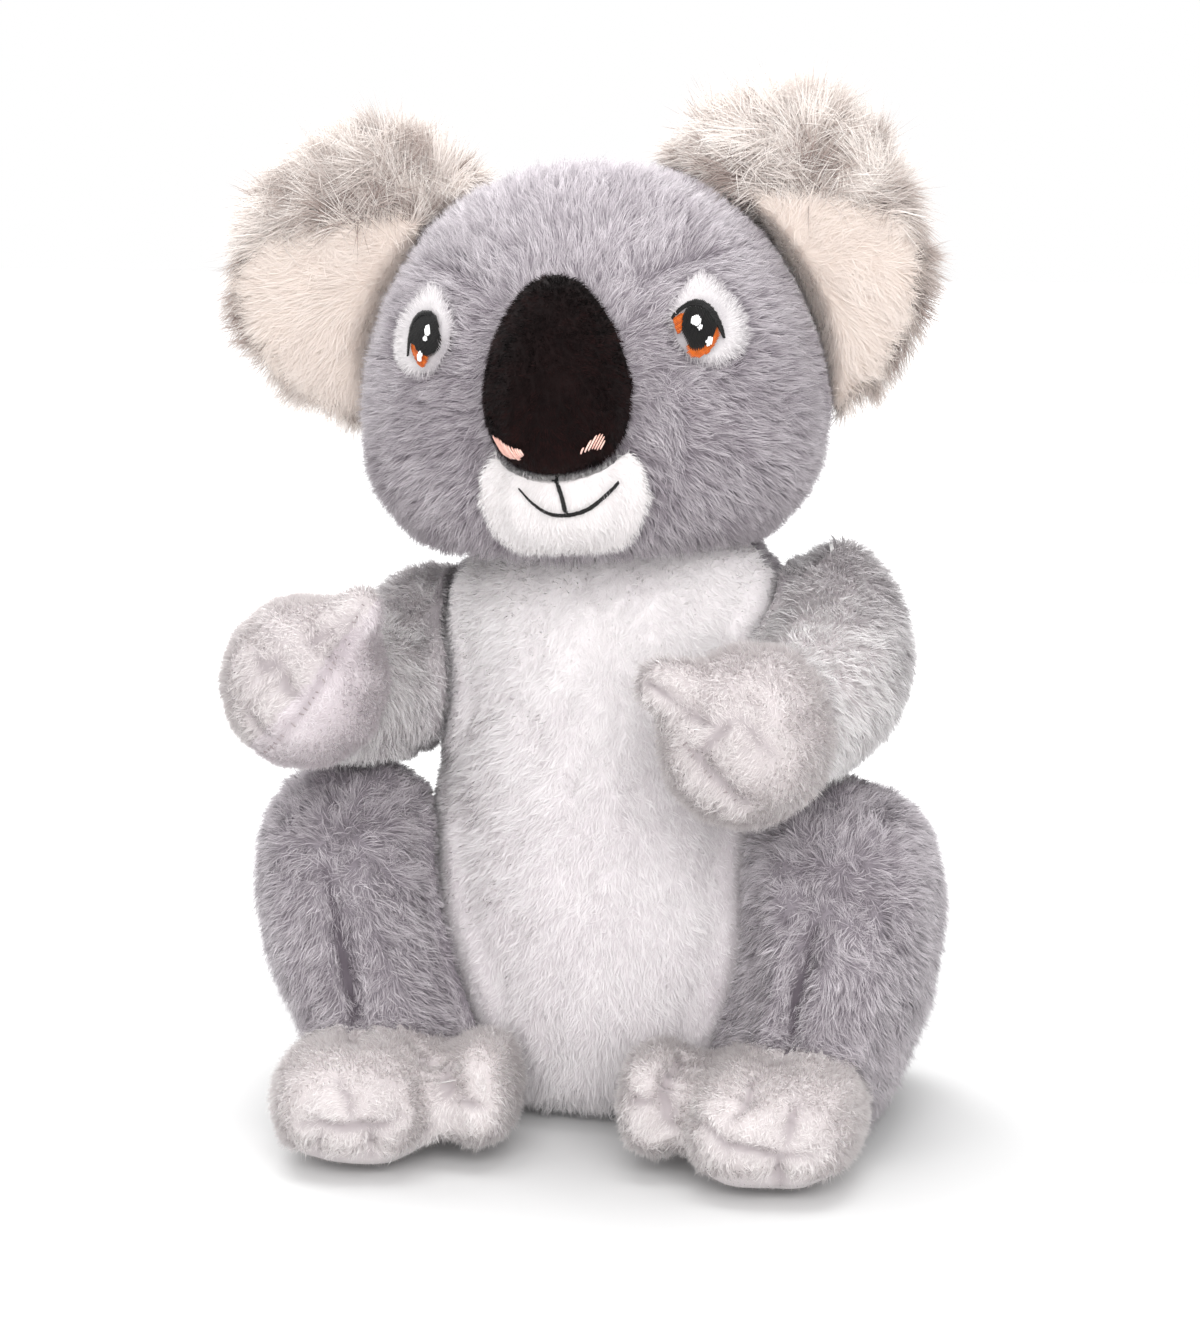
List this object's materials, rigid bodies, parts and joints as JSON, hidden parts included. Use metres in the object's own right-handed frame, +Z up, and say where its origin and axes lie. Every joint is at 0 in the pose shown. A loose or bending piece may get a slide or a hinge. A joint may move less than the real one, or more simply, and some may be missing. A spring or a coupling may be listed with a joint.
{
  "type": "plush koala",
  "caption": "Seated plush koala with a turning head, folding ears, lifting arms and splaying legs: sewn pile covers over fibre filling.",
  "frame": {"origin": "middle of the seat's flat underside, where the toy rests on its base", "axes": "+Z up, -Y the way the toy faces, +X to the toy's own left"},
  "size_m": [0.1865, 0.1502, 0.2548],
  "materials": {
    "grey_pile": "long soft pile",
    "white_pile": "long soft pile",
    "paw_pile": "short pile",
    "palm_pile": "short pile",
    "muzzle_pile": "short pile",
    "nose_pile": "very short velvet pile",
    "ear_pile": "very long pile with pale tips",
    "ear_lining": "short pile",
    "fibre": "loose fibre filling",
    "black_thread": "satin stitch",
    "amber_thread": "satin stitch",
    "pink_thread": "satin stitch",
    "white_thread": "satin stitch"
  },
  "bodies": {
    "torso": {"belly_panel": "white_pile", "back_panel": "grey_pile", "torso_filling": "fibre"},
    "head": {"face_panel": "grey_pile", "head_back_panel": "grey_pile", "head_filling": "fibre", "muzzle": "muzzle_pile", "nose": "nose_pile", "mouth_stitch": "black_thread", "nostril_stitch_left": "pink_thread", "eye_patch_left": "muzzle_pile", "eye_iris_left": "amber_thread", "eye_pupil_left": "black_thread", "eye_glint_upper_left": "white_thread", "eye_glint_lower_left": "white_thread", "nostril_stitch_right": "pink_thread", "eye_patch_right": "muzzle_pile", "eye_iris_right": "amber_thread", "eye_pupil_right": "black_thread", "eye_glint_upper_right": "white_thread", "eye_glint_lower_right": "white_thread"},
    "ear_left": {"ear_front_left": "ear_lining", "ear_back_left": "ear_pile"},
    "arm_left": {"arm_cover_left": "grey_pile", "paw_cover_left": "paw_pile", "palm_left": "palm_pile", "arm_filling_left": "fibre"},
    "leg_left": {"leg_cover_left": "grey_pile", "foot_cover_left": "paw_pile", "sole_left": "palm_pile", "leg_filling_left": "fibre"},
    "ear_right": {"ear_front_right": "ear_lining", "ear_back_right": "ear_pile"},
    "arm_right": {"arm_cover_right": "grey_pile", "paw_cover_right": "paw_pile", "palm_right": "palm_pile", "arm_filling_right": "fibre"},
    "leg_right": {"leg_cover_right": "grey_pile", "foot_cover_right": "paw_pile", "sole_right": "palm_pile", "leg_filling_right": "fibre"}
  },
  "joints": [
    {"name": "neck_turn", "type": "hinge", "parent": "torso", "child": "head", "pos_m": [-0.0035, -0.002, 0.1345], "axis": [0, 0, 1], "range_deg": [-15, 15], "stiffness_Nm_per_rad": 0.03},
    {"name": "ear_fold_left", "type": "hinge", "parent": "head", "child": "ear_left", "pos_m": [0.04145, 0.00557, 0.20847], "axis": [0.5147, 0.018, -0.8572], "range_deg": [-18, 18], "stiffness_Nm_per_rad": 0.004},
    {"name": "shoulder_lift_left", "type": "hinge", "parent": "torso", "child": "arm_left", "pos_m": [0.053, 0, 0.119], "axis": [-1, 0, 0], "range_deg": [0, 20], "stiffness_Nm_per_rad": 0.03},
    {"name": "hip_splay_left", "type": "hinge", "parent": "torso", "child": "leg_left", "pos_m": [0.05, 0.012, 0], "axis": [0, 0, 1], "range_deg": [-1.5, 18], "stiffness_Nm_per_rad": 0.05},
    {"name": "ear_fold_right", "type": "hinge", "parent": "head", "child": "ear_right", "pos_m": [-0.05635, 0.00216, 0.20334], "axis": [0.4224, 0.0147, 0.9063], "range_deg": [-18, 18], "stiffness_Nm_per_rad": 0.004},
    {"name": "shoulder_lift_right", "type": "hinge", "parent": "torso", "child": "arm_right", "pos_m": [-0.053, 0, 0.119], "axis": [-1, 0, 0], "range_deg": [0, 20], "stiffness_Nm_per_rad": 0.03},
    {"name": "hip_splay_right", "type": "hinge", "parent": "torso", "child": "leg_right", "pos_m": [-0.05, 0.012, 0], "axis": [0, 0, -1], "range_deg": [-1.5, 18], "stiffness_Nm_per_rad": 0.05}
  ]
}
